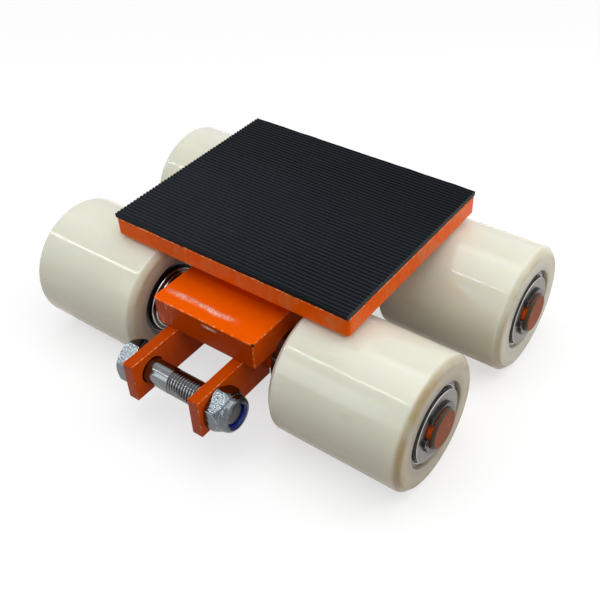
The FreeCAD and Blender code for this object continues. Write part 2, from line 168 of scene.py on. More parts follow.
class Finish(Graph):
    """A material on Object coordinates, in metres."""

    def __init__(self, name):
        self.material = bpy.data.materials.new(name)
        self.material.use_nodes = True
        super().__init__(self.material.node_tree)
        self.shader = self.tree.nodes["Principled BSDF"]
        self.place = self.node("ShaderNodeTexCoord", output="Object")

    def parts(self):
        """The three coordinates of a point."""
        split = self.node("ShaderNodeSeparateXYZ", inputs={0: self.place}).socket.node
        return [Value(self, output) for output in split.outputs]

    def stretched(self, *scales):
        return self.node("ShaderNodeMapping", inputs={"Vector": self.place, "Scale": scales})

    def noise(self, size, detail=3.0, place=None):
        """Cloudy noise from 0 to 1 whose patches are about size across."""
        inputs = {"Vector": place or self.place, "Scale": 1 / size, "Detail": detail}
        return self.node("ShaderNodeTexNoise", inputs=inputs)

    def specks(self, spacing, size):
        """1 in small scattered dots, 0 elsewhere."""
        inputs = {"Vector": self.place, "Scale": 1 / spacing}
        distance = self.node("ShaderNodeTexVoronoi", inputs=inputs) * spacing
        return self.rise(distance, size, size * 0.5)

    def rise(self, value, start, end):
        """0 before start, 1 after end, smooth between; end may be the smaller."""
        settings = {"interpolation_type": "SMOOTHSTEP"}
        return self.node("ShaderNodeMapRange", settings, {"Value": value, "From Min": start, "From Max": end})

    def mix(self, factor, first, second):
        """A blend of two colours."""
        settings = {"data_type": "RGBA"}
        return self.node("ShaderNodeMix", settings, {0: factor, 6: first, 7: second}, output=2)

    def relief(self, height):
        """Small bumps; the height is in millimetres."""
        return self.node("ShaderNodeBump", inputs={"Height": height, "Strength": 1, "Distance": MM})

    def near(self, point, start, end):
        """1 within end of a point, 0 beyond start."""
        settings = {"operation": "DISTANCE"}
        away = self.node("ShaderNodeVectorMath", settings, {0: self.place, 1: point}, output="Value")
        return self.rise(away, start, end)

    def edge_wear_and_highlight(self):
        """1 along the rounded edges of a piece, 0 on its faces."""
        return self.node("ShaderNodeAttribute", {"attribute_name": "edge_wear_and_highlight"}, output="Fac")

    def from_axle(self):
        """A point's distance from the nearer axle's middle line, and from the skate's middle plane."""
        x, y, z = self.parts()
        along = abs(y - between_axles) - half_wheelbase
        up = z - axle_height
        return (along * along + up * up).root(), abs(x)

    def done(self, **sockets):
        for name, value in sockets.items():
            self.put(self.shader.inputs[name.replace("_", " ")], value)
        return self.material


def orange_enamel():
    """Thick gloss paint put on by brush and worn at its edges; painted shade darkens the frame below the
    chassis plate's top, and painted highlights, glints and a reflection lie on it.
    """
    finish = Finish("orange_enamel")
    x, y, z = finish.parts()
    clouds = finish.noise(30 * MM)
    smears = finish.noise(6 * MM, detail=5)
    grain = finish.noise(1 * MM, detail=2)
    runs = finish.noise(3.2 * MM, detail=2, place=finish.stretched(1.0, 1.0, 0.16))
    colour = finish.mix(clouds, (0.93, 0.122, 0.0004), (0.84, 0.102, 0.0004))

    # Painted shade below the top of the chassis plate, less of it on the plate's flanks and the lugs' sides
    below_top = finish.rise(z, chassis_high.z - 0.3 * MM, chassis_high.z - 1.2 * MM)
    flank = finish.rise(abs(x), chassis_high.x - 1.2 * MM, chassis_high.x - 0.3 * MM)
    from_lug = abs(abs(x) - lug_middle)
    lug_side = finish.rise(from_lug, lug_half - 0.6 * MM, lug_half - 0.1 * MM)
    lug_side *= finish.rise(from_lug, lug_half + 0.5 * MM, lug_half + 0.2 * MM)
    lug_side *= finish.rise(z, chassis_low.z + 0.2 * MM, chassis_low.z - 0.2 * MM)
    painted_shade = below_top * (1 - flank * 0.9 - lug_side * 0.75) * (0.70 + clouds * 0.45)
    colour = finish.mix(painted_shade, colour, (0.45, 0.049, 0.0003))
    dirt = finish.rise(smears, 0.58, 0.76) * finish.rise(clouds, 0.45, 0.70)
    colour = finish.mix(dirt * 0.45, colour, (0.24, 0.030, 0.002))
    colour = finish.mix(finish.specks(12 * MM, 0.35 * MM) * 0.7, colour, (0.06, 0.014, 0.004))

    # Pale edges, partly thin paint and partly a painted highlight; chipped edges; and one bare corner
    edge = finish.edge_wear_and_highlight()
    thin_paint_and_highlight = edge * finish.rise(finish.noise(2.2 * MM, detail=4), 0.50, 0.60)
    colour = finish.mix(thin_paint_and_highlight * 0.80, colour, (0.95, 0.46, 0.26))
    chipped = edge * finish.rise(finish.noise(11 * MM, detail=4), 0.68, 0.71)
    corner = finish.near((chassis_high.x, chassis_low.y, chassis_high.z), 1.9 * MM, 1.3 * MM)
    for bare in (chipped, corner):
        colour = finish.mix(bare, colour, (0.035, 0.026, 0.014))

    # Pale pinkish patches, streaked by the runs, on the deck's sides
    pale_patches = finish.rise(finish.noise(22 * MM, detail=2), 0.50, 0.58)
    pale_patches *= finish.rise(z, deck_low.z - MM, deck_low.z)
    drips = 0.16 + finish.rise(runs, 0.45, 0.62) * 0.30
    colour = finish.mix(pale_patches * drips, colour, (0.72, 0.24, 0.085))

    # One raised brush stroke on top of the chassis plate; its pale flecks are a painted glint
    stroke_place = Vector((-8 * MM, chassis_low.y + 10 * MM, chassis_high.z))
    sway = (finish.noise(12 * MM) - 0.5) * (4 * MM)
    stroke = finish.rise(abs(y - stroke_place.y + sway), 3.2 * MM, 0)
    stroke *= finish.rise(abs(x - stroke_place.x), 31 * MM, 12 * MM)
    stroke *= finish.rise(abs(z - stroke_place.z), 0.7 * MM, 0.3 * MM)
    painted_glint_grain = finish.rise(finish.noise(0.8 * MM, detail=2), 0.34, 0.62) * finish.rise(smears, 0.34, 0.52)
    colour = finish.mix(stroke * (0.15 + painted_glint_grain * 0.85), colour, (0.98, 0.74, 0.62))

    # A painted reflection as pale runs on the chassis plate's front, a painted glint spot on it, and painted
    # glints below its top
    front = below_top * finish.rise(y, chassis_low.y + 0.5 * MM, chassis_low.y + 0.2 * MM)
    front *= finish.rise(z, chassis_low.z + 0.1 * MM, chassis_low.z + 0.6 * MM)
    painted_reflection = front * finish.rise(x, -22 * MM, -29 * MM) * finish.rise(runs, 0.44, 0.58)
    colour = finish.mix(painted_reflection * 0.7, colour, (0.85, 0.26, 0.13))
    painted_glint_spot = front * finish.rise(abs(x - 5.5 * MM), 6.5 * MM, 3 * MM)
    painted_glint_spot *= finish.rise(abs(z - chassis_high.z + 3.6 * MM), 1.4 * MM, 0.5 * MM)
    colour = finish.mix(painted_glint_spot * (0.25 + painted_glint_grain * 0.75), colour, (0.98, 0.82, 0.74))
    glints = finish.specks(19 * MM, 0.8 * MM) * below_top
    colour = finish.mix(glints * 0.7, colour, (0.98, 0.66, 0.54))
    return finish.done(
        Base_Color=colour,
        Roughness=0.20 + smears * 0.16 - stroke * 0.12,
        Specular_IOR_Level=0.10,
        Specular_Tint=(1.0, 0.30, 0.02),
        Normal=finish.relief(runs * 0.11 + grain * (0.05 + stroke * 0.50) + stroke * 0.30),
    )


def axle_enamel():
    """Orange paint on the bar, a bare dark stub beyond the circlip, and a pitted salmon end."""
    finish = Finish("axle_enamel")
    _, across = finish.from_axle()
    colour = finish.mix(finish.noise(12 * MM), (0.80, 0.13, 0.004), (0.58, 0.075, 0.004))
    bare = finish.mix(finish.noise(3 * MM, detail=5), (0.095, 0.080, 0.052), (0.045, 0.038, 0.026))
    salmon = finish.mix(finish.noise(4 * MM, detail=6), (0.34, 0.090, 0.040), (0.26, 0.070, 0.030))
    scratch = finish.noise(3.5 * MM, detail=5, place=finish.stretched(1.0, 0.30, 1.0))
    salmon = finish.mix(finish.rise(scratch, 0.58, 0.68) * 0.5, salmon, (0.46, 0.175, 0.10))
    pits = finish.specks(4.2 * MM, 0.6 * MM) * finish.rise(finish.noise(9 * MM), 0.52, 0.60)
    salmon = finish.mix(pits, salmon, (0.05, 0.022, 0.012))
    stub = finish.rise(across, clip_high.x + 0.25 * MM, clip_high.x + 0.40 * MM)
    face = finish.rise(across, axle_end - 0.30 * MM, axle_end - 0.10 * MM)
    colour = finish.mix(stub, colour, bare)
    colour = finish.mix(face, colour, salmon)
    return finish.done(
        Base_Color=colour,
        Roughness=0.36 + face * 0.24,
        Specular_IOR_Level=0.15,
        Normal=finish.relief(finish.noise(1.2 * MM, detail=4) * 0.05 - pits * 0.2),
    )


def white_nylon():
    """Turned cream nylon with lathe lines and specks; its ends are brown, most at the front outside, where
    the stain also carries painted shade.
    """
    finish = Finish("white_nylon")
    _, y, _ = finish.parts()
    radius, across = finish.from_axle()
    from_middle = abs(across - roller_middle)
    clouds = finish.noise(45 * MM)
    colour = finish.mix(clouds, (0.80, 0.81, 0.70), (0.76, 0.755, 0.62))

    # Tea-coloured ends, a stain round the rim and grime round the bearing; all three are stronger at the
    # front outside than at the rear and the inside, and that difference is painted shade
    end = finish.rise(from_middle, roller_half - 5 * MM, roller_half - 1 * MM)
    face = finish.rise(from_middle, roller_half - 4.6 * MM, roller_half - 1.2 * MM)
    rear = finish.rise(y, between_axles - 5 * MM, between_axles + 5 * MM)
    outer = finish.rise(across, roller_middle - 5 * MM, roller_middle + 5 * MM)
    stain_and_shade = (1 - rear * 0.6) * (0.35 + outer * 0.65)
    tea = finish.mix(finish.noise(20 * MM), (0.52, 0.47, 0.33), (0.46, 0.41, 0.29))
    colour = finish.mix(face * stain_and_shade * (0.60 + clouds * 0.5), colour, tea)
    rim = end * finish.rise(abs(radius - roller_radius + 3.6 * MM), 5.0 * MM, 0.4 * MM)
    stain = rim * stain_and_shade * finish.rise(finish.noise(14 * MM), 0.30, 0.60)
    colour = finish.mix(stain * 0.9, colour, (0.45, 0.33, 0.15))
    hub = face * stain_and_shade * finish.rise(radius, bearing_radius + 7 * MM, bearing_radius)
    colour = finish.mix(hub * 0.65, colour, (0.30, 0.25, 0.18))

    # Scuffs and specks from the floor, and the lathe's lines
    scuff = finish.rise(finish.noise(8 * MM, detail=6, place=finish.stretched(0.25, 1.0, 1.0)), 0.62, 0.75)
    colour = finish.mix(scuff * 0.14, colour, (0.45, 0.43, 0.36))
    colour = finish.mix(finish.specks(36 * MM, 0.6 * MM) * 0.9, colour, (0.04, 0.035, 0.03))
    faced = (radius * (math.tau / (1.6 * MM))).sine() * end
    turned = (across * (math.tau / (1.1 * MM))).sine() * (1 - end)
    return finish.done(
        Base_Color=colour,
        Roughness=0.11 + scuff * 0.15 + end * 0.20,
        Subsurface_Weight=0.85,
        Subsurface_Radius=(1.0, 0.85, 0.55),
        Subsurface_Scale=14 * MM,
        Normal=finish.relief(faced * 0.006 + turned * 0.001 + finish.noise(6 * MM) * 0.05),
    )


def ribbed_rubber():
    """Black rubber, darkest at the back, dusty along its ribs, grey where cut; painted shade darkens its
    grooves, less of it towards the left.
    """
    finish = Finish("ribbed_rubber")
    x, y, z = finish.parts()
    clouds = finish.noise(50 * MM)
    colour = finish.mix(clouds, (0.0080, 0.0112, 0.0155), (0.0128, 0.0165, 0.0215))
    back = finish.rise(y, pivot.y - 35 * MM, mat_high.y)
    colour = finish.mix(back * 0.8, colour, (0.0030, 0.0040, 0.0058))
    drag = finish.noise(3 * MM, detail=4, place=finish.stretched(0.12, 1.0, 1.0))
    dust = finish.rise(drag, 0.58, 0.75) * finish.rise(clouds, 0.40, 0.65)
    colour = finish.mix(dust * 0.35, colour, (0.050, 0.052, 0.056))
    colour = finish.mix(finish.specks(14 * MM, 0.30 * MM) * 0.5, colour, (0.20, 0.19, 0.18))
    # Painted shade in the grooves, weaker towards the left
    groove = finish.rise(z, mat_high.z - 0.35 * MM, mat_high.z - 0.55 * MM)
    groove_shade_amount = 0.25 + finish.rise(x, -35 * MM, 60 * MM) * 0.75
    colour = finish.mix(groove * groove_shade_amount, colour, (0.002, 0.003, 0.004))
    cut = finish.rise(abs(x), mat_high.x - 0.50 * MM, mat_high.x - 0.25 * MM)
    colour = finish.mix(cut, colour, (0.040, 0.046, 0.050))
    return finish.done(
        Base_Color=colour,
        Roughness=0.48 + drag * 0.15,
        Specular_IOR_Level=0.08,
        Normal=finish.relief(finish.noise(0.7 * MM, detail=4) * 0.02),
    )


def toned(name, dark, light, rough, patch, grain=0.01, metallic=1.0, edge=None):
    """A finish that clouds between two colours; grain is its bumps in millimetres, edge a colour painted
    along rounded edges as a highlight.
    """
    finish = Finish(name)
    clouds = finish.noise(patch, detail=5)
    colour = finish.mix(clouds, dark, light)
    if edge:
        colour = finish.mix(finish.edge_wear_and_highlight(), colour, edge)
    return finish.done(
        Base_Color=colour,
        Metallic=metallic,
        Roughness=rough + clouds * 0.12,
        Normal=finish.relief(finish.noise(patch, detail=3) * grain),
    )


enamel = orange_enamel()
axle_paint = axle_enamel()
nylon = white_nylon()
rubber = ribbed_rubber()
# The edge colours of these steels and zincs are painted highlights along their rounded edges
ground_steel = toned(
    "ground_steel", (0.06, 0.06, 0.065), (0.12, 0.12, 0.125),
    rough=0.20, patch=6 * MM, edge=(0.50, 0.50, 0.51))
collar_steel = toned(
    "collar_steel", (0.08, 0.08, 0.09), (0.15, 0.15, 0.16),
    rough=0.18, patch=10 * MM, edge=(0.60, 0.60, 0.61))
washer_zinc = toned(
    "washer_zinc", (0.07, 0.068, 0.064), (0.27, 0.265, 0.257),
    rough=0.28, patch=3 * MM, grain=0.04, edge=(0.44, 0.44, 0.44))
bright_zinc = toned(
    "bright_zinc", (0.06, 0.073, 0.084), (0.185, 0.205, 0.22),
    rough=0.05, patch=1.6 * MM, grain=0.14, edge=(0.48, 0.50, 0.52))
polished_zinc = toned(
    "polished_zinc", (0.14, 0.15, 0.155), (0.23, 0.24, 0.245), rough=0.10, patch=6 * MM)
bronze = toned(
    "bronze", (0.42, 0.24, 0.10), (0.58, 0.36, 0.16), rough=0.30, patch=8 * MM)
black_spring = toned(
    "black_spring", (0.006, 0.006, 0.007), (0.014, 0.014, 0.015), rough=0.22, patch=2 * MM, metallic=0.0)
seal_rubber = toned(
    "seal_rubber", (0.008, 0.008, 0.009), (0.016, 0.016, 0.017), rough=0.40, patch=3 * MM, metallic=0.0)
blue_nylon = toned(
    "blue_nylon", (0.008, 0.018, 0.20), (0.014, 0.040, 0.36), rough=0.20, patch=4 * MM, metallic=0.0)


# Shaping

def lathe(shape, profile, centre, axis, out, steps=ROUND_STEPS):
    """Spins (along, radius) points about an axis; a profile that starts on the axis is left open there."""
    verts = [shape.verts.new(centre + axis * along + out * radius) for along, radius in profile]
    closing = verts[:1] if profile[0][1] > 0 else []
    edges = [shape.edges.new(pair) for pair in zip(verts, verts[1:] + closing)]
    bmesh.ops.spin(
        shape, geom=verts + edges, cent=centre, axis=axis, angle=math.tau, steps=steps, use_merge=True)


def mirrored(half):
    """A profile from its middle outwards, with its mirror image before it."""
    return [(-along, radius) for along, radius in reversed(half)] + half


def extruded(shape, edges):
    """A new row of edges joined to the given ones by faces, not moved yet: its vertices and its edges."""
    made = bmesh.ops.extrude_edge_only(shape, edges=edges)["geom"]
    verts = [item for item in made if isinstance(item, bmesh.types.BMVert)]
    return verts, [item for item in made if isinstance(item, bmesh.types.BMEdge)]


def clean_up(shape):
    bmesh.ops.remove_doubles(shape, verts=shape.verts, dist=MERGE)
    bmesh.ops.recalc_face_normals(shape, faces=shape.faces)


def round_edges(shape, width, segments=3):
    """Rounds every sharp edge, and marks the middle of each round for edge wear and painted edge highlights.
    """
    clean_up(shape)
    edge_wear_and_highlight = shape.verts.layers.float.get("edge_wear_and_highlight") or shape.verts.layers.float.new("edge_wear_and_highlight")
    sharp = [edge for edge in shape.edges if edge.is_manifold and edge.calc_face_angle() > ROUNDED_ABOVE]
    made = bmesh.ops.bevel(
        shape, geom=sharp, offset=width, affect="EDGES", segments=segments, profile=0.5,
        material=-1, clamp_overlap=True)
    rounds = set(made["faces"])
    for vert in {vert for face in rounds for vert in face.verts}:
        if rounds.issuperset(vert.link_faces):
            vert[edge_wear_and_highlight] = 1.0


def copy_of(node):
    """A node's own shape, with its flat faces whole again."""
    shape = bmesh.new()
    shape.from_mesh(nodes[node].data)
    bmesh.ops.remove_doubles(shape, verts=shape.verts, dist=MERGE)
    bmesh.ops.dissolve_limit(shape, angle_limit=math.radians(0.5), verts=shape.verts, edges=shape.edges)
    return shape


def add_piece(name, shape, material, body, slot, *replaced):
    clean_up(shape)
    mesh = bpy.data.meshes.new(name)
    shape.to_mesh(mesh)
    shape.free()
    mesh.shade_smooth()
    mesh.set_sharp_from_angle(angle=SHADED_SHARP_ABOVE)
    mesh.materials.append(material)
    piece = bpy.data.objects.new(name, mesh)
    bpy.context.scene.collection.objects.link(piece)
    piece.modifiers.new("even_faces", "WEIGHTED_NORMAL").keep_sharp = True
    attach(piece, body)
    if replaced:
        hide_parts(*replaced)


def stations():
    """Each roller's name, and the point of its axle line at its middle."""
    for end in ENDS:
        for side_name, side in SIDES.items():
            yield f"{end}_{side_name}", Vector((roller_middle * side, axle_y[end], axle_height))


# Rollers and bearings

def make_rollers():
    bevel = 3.5 * MM
    rim = roller_radius - 0.01 * MM
    seat = bearing_radius + 0.02 * MM
    seat_end = roller_half - 17 * MM
    shoulder = seat - 3 * MM
    half = [
        (seat_end, shoulder),
        (seat_end, seat),
        (roller_half, seat),
        (roller_half, rim - bevel),
        (roller_half - bevel, rim),
    ]
    for name, middle in stations():
        shape = bmesh.new()
        lathe(shape, mirrored(half), middle, X_AXIS, Z_AXIS)
        round_edges(shape, 0.9 * MM, segments=4)
        add_piece(f"{name}_nylon", shape, nylon, f"{name}_wheel", "white_nylon", f"{name}_roller")


def make_bearings():
    """Two to a roller: an outer ring, and a rubber seal let into each of its faces."""
    half_width = 7.5 * MM
    ring_bore = bearing_radius - 3.4 * MM
    seal_edge = ring_bore - 0.05 * MM
    seal_bore = 15.9 * MM
    seal_back = half_width - 2.0 * MM
    seal_front = half_width - 1.0 * MM
    seal_lip = half_width - 0.5 * MM
    ring = [
        (-half_width, ring_bore),
        (half_width, ring_bore),
        (half_width, bearing_radius),
        (-half_width, bearing_radius),
    ]
    seal = [
        (seal_back, seal_bore),
        (seal_front, seal_bore),
        (seal_front, seal_edge - 1.6 * MM),
        (seal_lip, seal_edge - 0.9 * MM),
        (seal_lip, seal_edge),
        (seal_back, seal_edge),
    ]
    for name, middle in stations():
        rings, seals = bmesh.new(), bmesh.new()
        for way in WAYS:
            centre = middle + X_AXIS * way * (roller_half - bearing_recess - half_width)
            lathe(rings, ring, centre, X_AXIS, Z_AXIS)
            lathe(seals, seal, centre, X_AXIS, Z_AXIS)
            lathe(seals, seal, centre, -X_AXIS, Z_AXIS)
        round_edges(rings, 0.9 * MM, segments=4)
        round_edges(seals, 0.12 * MM, segments=2)
        wheel = f"{name}_wheel"
        add_piece(f"{name}_bearing_rings", rings, ground_steel, wheel, "bearing_steel",
                  f"{name}_bearing_outer_rings")
        add_piece(f"{name}_bearing_seals", seals, seal_rubber, wheel, "bearing_steel")


# Axles and what holds the rollers on them

def make_axles():
    groove_radius = axle_radius - 0.6 * MM
    groove_end = clip_high.x + 0.04 * MM
    groove_start = washer_high.x - 0.04 * MM
    bevel = 1.3 * MM
    half = [
        (groove_start, axle_radius),
        (groove_start, groove_radius),
        (groove_end, groove_radius),
        (groove_end, axle_radius),
        (axle_end - bevel, axle_radius),
        (axle_end, axle_radius - bevel),
        (axle_end, 0),
    ]
    for end in ENDS:
        shape = bmesh.new()
        middle = Vector((0, axle_y[end], axle_height))
        lathe(shape, mirrored(half), middle, X_AXIS, Z_AXIS, steps=SMALL_ROUND_STEPS)
        round_edges(shape, 0.18 * MM, segments=2)
        add_piece(f"{end}_axle_bar", shape, axle_paint, "chassis", "orange_paint", f"{end}_axle")


def add_circlip(shape, centre, axis, opening, bore, thickness):
    """An open spring ring that ends in two ears with plier eyes, either side of its opening."""
    wall, ear, eye, half_gap = 3.4 * MM, 2.6 * MM, 1.15 * MM, 4 * MM
    lean = math.asin((half_gap + ear) / bore)
    out = Matrix.Rotation(lean, 3, axis) @ opening
    corners = [(0, bore), (0, bore + wall), (thickness, bore + wall), (thickness, bore)]
    verts = [shape.verts.new(centre + axis * along + out * radius) for along, radius in corners]
    bmesh.ops.spin(
        shape, geom=[shape.faces.new(verts)], cent=centre, axis=axis,
        angle=math.tau - 2 * lean, steps=72)
    eye_out = bore + wall * 0.35
    hoop = [(0, eye), (0, ear), (thickness, ear), (thickness, eye)]
    for way in WAYS:
        middle = centre + opening * eye_out + axis.cross(opening) * way * (half_gap + ear)
        lathe(shape, hoop, middle, axis, opening, steps=32)


def make_axle_stacks():
    """Collars, washers and circlips on both axles."""
    flange_radius = (collar_high.z - collar_low.z) / 2
    washer_radius = (washer_high.z - washer_low.z) / 2
    collar_start, collar_end = chassis_high.x, collar_high.x
    washer_end = washer_high.x
    washer_start = washer_end - 2.5 * MM
    washer_bore = axle_radius + 0.08 * MM
    clip_thickness = clip_high.x - washer_end
    clip_bore = axle_radius - 0.58 * MM
    hub_radius = axle_radius + 5.5 * MM
    flange_start = collar_end - 2.5 * MM
    collar = [
        (collar_start, axle_radius),
        (collar_end, axle_radius),
        (collar_end, flange_radius),
        (flange_start, flange_radius),
        (flange_start, hub_radius),
        (collar_start, hub_radius),
    ]
    washer = [
        (washer_start, washer_bore),
        (washer_end, washer_bore),
        (washer_end, washer_radius),
        (washer_start, washer_radius),
    ]
    opening = Matrix.Rotation(math.radians(150), 3, "X") @ Y_AXIS
    collars, washers, clips = bmesh.new(), bmesh.new(), bmesh.new()
    for y in axle_y.values():
        centre = Vector((0, y, axle_height))
        for side in SIDES.values():
            outwards = X_AXIS * side
            lathe(collars, collar, centre, outwards, Z_AXIS)
            lathe(washers, washer, centre, outwards, Z_AXIS)
            add_circlip(clips, centre + outwards * washer_end, outwards, opening, clip_bore, clip_thickness)
    round_edges(collars, 0.9 * MM, segments=4)
    round_edges(washers, 0.45 * MM)
    round_edges(clips, 0.18 * MM, segments=2)
    add_piece("collars", collars, collar_steel, "chassis", "collar_steel", "axle_collars")
    add_piece("washers", washers, washer_zinc, "chassis", "washer_steel", "axle_washers")
    add_piece("circlips", clips, black_spring, "chassis", "black_spring_steel", "axle_circlips")


# Chassis and tow clevis

def add_weld(shape, start, end, size, seed):
    """A lumpy bead from start to end, drawn out of a circle step by step."""
    run = end - start
    steps = max(4, round(run.length / (1.6 * MM)))
    turned = run.to_track_quat("Z", "Y").to_matrix().to_4x4()
    ring = bmesh.ops.create_circle(
        shape, cap_ends=True, segments=10, radius=size * 0.5, matrix=Matrix.Translation(start) @ turned)
    loop = list({edge for vert in ring["verts"] for edge in vert.link_edges})
    for step in range(1, steps + 1):
        verts, loop = extruded(shape, loop)
        middle = start + run * (step / steps)
        lump = 1 + 0.35 * noise.noise(Vector((seed, step * 0.9, 0)))
        wanted = size * lump * (0.5 if step == steps else 1)
        for vert in verts:
            off = vert.co - middle
            off -= run * (off.dot(run) / run.length_squared)
            ripple = 1 + 0.18 * noise.noise(vert.co * 900 + Vector((seed, 0, 0)))
            vert.co = middle + off.normalized() * wanted * ripple
    bmesh.ops.holes_fill(shape, edges=loop)


def weld_runs():
    """Start, end and size of each bead: along both faces of a lug, and along both sides of an axle."""
    bead = 2.2 * MM
    axle_bead = bead * 1.3
    under = chassis_low.z - 0.3 * MM
    beside_axle = under - 2 * MM
    lug_start = chassis_low.y + 2 * MM
    lug_end = axle_low.y + 3 * MM
    for side in SIDES.values():
        for face in (lug_low.x, lug_high.x):
            yield Vector((face * side, lug_start, under)), Vector((face * side, lug_end, under)), bead
        for y in axle_y.values():
            for way in WAYS:
                along = y + way * (axle_radius - 3 * MM)
                inner = Vector((lug_high.x * side, along, beside_axle))
                yield inner, Vector((chassis_high.x * side, along, beside_axle)), axle_bead


def make_chassis():
    plate = copy_of("chassis_plate")
    round_edges(plate, 0.9 * MM)
    add_piece("chassis_block", plate, enamel, "chassis", "orange_paint", "chassis_plate")
    for side in SIDES:
        lug = copy_of(f"{side}_tow_lug")
        round_edges(lug, 0.7 * MM)
        add_piece(f"{side}_lug", lug, enamel, "chassis", "orange_paint", f"{side}_tow_lug")
    welds = bmesh.new()
    for index, (start, end, size) in enumerate(weld_runs()):
        add_weld(welds, start, end, size, seed=index * 7)
    add_piece("weld_beads", welds, enamel, "chassis", "orange_paint")


def put_round(vert, centre, along, radius):
    """Moves a vertex along X and to a radius, at its own angle round the centre."""
    off = vert.co - centre
    off.x = 0
    vert.co = centre + X_AXIS * along + off.normalized() * radius


def add_hexagon(shape, flats, centre, start, end, start_slope, end_slope, bore=0.0):
    """A hexagon along X; at each end its corners are turned to a cone of the given slope, edges eased."""
    sixth = math.radians(60)
    flat_radius = flats / 2
    cone_start = flat_radius - 0.4 * MM
    across = Matrix.Translation(centre + X_AXIS * start) @ Matrix.Rotation(math.radians(90), 4, "Y")
    rim = bmesh.ops.create_circle(
        shape, segments=SMALL_ROUND_STEPS, radius=flat_radius, matrix=across)["verts"]
    rim_edges = list({edge for vert in rim for edge in vert.link_edges})
    far_rim, far_edges = extruded(shape, rim_edges)
    open_edges = []
    for outline, edges, at, slope in (
        (rim, rim_edges, start, start_slope),
        (far_rim, far_edges, end, -end_slope),
    ):
        for vert in outline:
            angle = math.atan2(vert.co.z - centre.z, vert.co.y - centre.y)
            radius = flat_radius / math.cos((angle + sixth / 2) % sixth - sixth / 2)
            put_round(vert, centre, at + (radius - cone_start) * slope, radius)
        for radius in (cone_start, bore) if bore else (cone_start,):
            ring, edges = extruded(shape, edges)
            for vert in ring:
                put_round(vert, centre, at, radius)
        open_edges += edges
    if bore:
        bmesh.ops.bridge_loops(shape, edges=open_edges)
    else:
        bmesh.ops.holes_fill(shape, edges=open_edges)
    round_edges(shape, 0.2 * MM, segments=2)


def add_thread(shape, centre, start, end, crest, root, pitch):
    """A closed ridge wound round X, its foot sunk into the core that carries it."""
    steps = 40
    foot = root - 0.25 * MM
    ridge = [(0, foot), (pitch * 0.40, crest), (pitch * 0.52, crest), (pitch * 0.92, foot)]
    verts = [shape.verts.new(centre + X_AXIS * (start + along) + Z_AXIS * radius) for along, radius in ridge]
    turns = (end - start - pitch) / pitch
    bmesh.ops.spin(
        shape, geom=[shape.faces.new(verts)], cent=centre, axis=X_AXIS, dvec=X_AXIS * (pitch / steps),
        angle=math.tau * turns, steps=round(steps * turns))


def make_tow_bolt():
    shank_radius = 7.95 * MM
    root, crest, pitch = 6.85 * MM, 7.85 * MM, 2 * MM
    thread_start = -4 * MM
    head_end = -lug_high.x
    shank_start = head_end - 1 * MM
    tip = bolt_high.x
    tip_start = tip - 1.2 * MM
    head, shape, end = bmesh.new(), bmesh.new(), bmesh.new()
    add_hexagon(head, bolt_high.z - bolt_low.z, bolt_line, bolt_low.x, head_end, 0.85, 0.58)
    add_piece("tow_bolt_head", head, bright_zinc, "chassis", "zinc_plate", "tow_bolt")
    shank = [
        (shank_start, 0),
        (shank_start, shank_radius),
        (thread_start, shank_radius),
        (thread_start + 0.7 * MM, root),
        (tip_start, root),
        (tip_start, 0),
    ]
    lathe(shape, shank, bolt_line, X_AXIS, Z_AXIS, steps=SMALL_ROUND_STEPS)
    add_thread(shape, bolt_line, thread_start + 0.3 * MM, tip - 0.8 * MM, crest, root, pitch)
    add_piece("tow_bolt_shank", shape, polished_zinc, "chassis", "zinc_plate")
    # The tip is finished in darker steel than the shank, a painted reflection of the shaded floor beside it
    bevelled_end = [(tip_start, 0), (tip_start, root), (tip, root - 0.8 * MM), (tip, 0)]
    lathe(end, bevelled_end, bolt_line, X_AXIS, Z_AXIS)
    round_edges(end, 0.5 * MM)
    add_piece("tow_bolt_end", end, collar_steel, "chassis", "zinc_plate")


def make_tow_nut():
    """A locking nut: a bevelled hexagon, a collar rolled over a blue ring, and that ring."""
    hole = 8.02 * MM
    collar, mouth, pocket = 11.3 * MM, 8.2 * MM, 10 * MM
    play = 0.02 * MM
    hexagon_end = insert_low.x
    collar_start = hexagon_end - 0.4 * MM
    end = nut_high.x
    shape = bmesh.new()
    add_hexagon(shape, nut_high.z - nut_low.z, bolt_line, nut_low.x, hexagon_end, 0.58, 1.9, bore=hole)
    roll = [
        (collar_start, pocket),
        (collar_start, collar),
        (end - 3.4 * MM, collar),
        (end - 2.4 * MM, collar - 0.15 * MM),
        (end - 1.5 * MM, collar - 0.50 * MM),
        (end - 0.7 * MM, collar - 1.05 * MM),
        (end - 0.2 * MM, collar - 1.70 * MM),
        (end, mouth + 0.50 * MM),
        (end - 0.3 * MM, mouth),
        (insert_high.x, mouth),
        (insert_high.x, pocket),
    ]
    lathe(shape, roll, bolt_line, X_AXIS, Z_AXIS, steps=SMALL_ROUND_STEPS)
    add_piece("tow_nut_domed", shape, bright_zinc, "chassis", "zinc_plate", "tow_nut")
    ring_end = insert_high.x + 0.5 * MM
    ring = [
        (insert_low.x, hole),
        (bolt_high.x, hole),
        (bolt_high.x + 0.1 * MM, hole - 0.9 * MM),
        (insert_high.x + 0.2 * MM, hole - 0.8 * MM),
        (ring_end, mouth - 0.4 * MM),
        (ring_end, mouth - play),
        (insert_high.x - play, mouth - play),
        (insert_high.x - play, pocket - play),
        (insert_low.x, pocket - play),
    ]
    insert = bmesh.new()
    lathe(insert, ring, bolt_line, X_AXIS, Z_AXIS, steps=SMALL_ROUND_STEPS)
    round_edges(insert, 0.15 * MM, segments=2)
    add_piece("tow_nut_ring", insert, blue_nylon, "chassis", "blue_nylon", "tow_nut_insert")


# Deck

def make_deck_plate():
    shape = copy_of("deck_plate")
    round_edges(shape, 0.8 * MM)
    add_piece("deck_slab", shape, enamel, "deck", "orange_paint", "deck_plate")


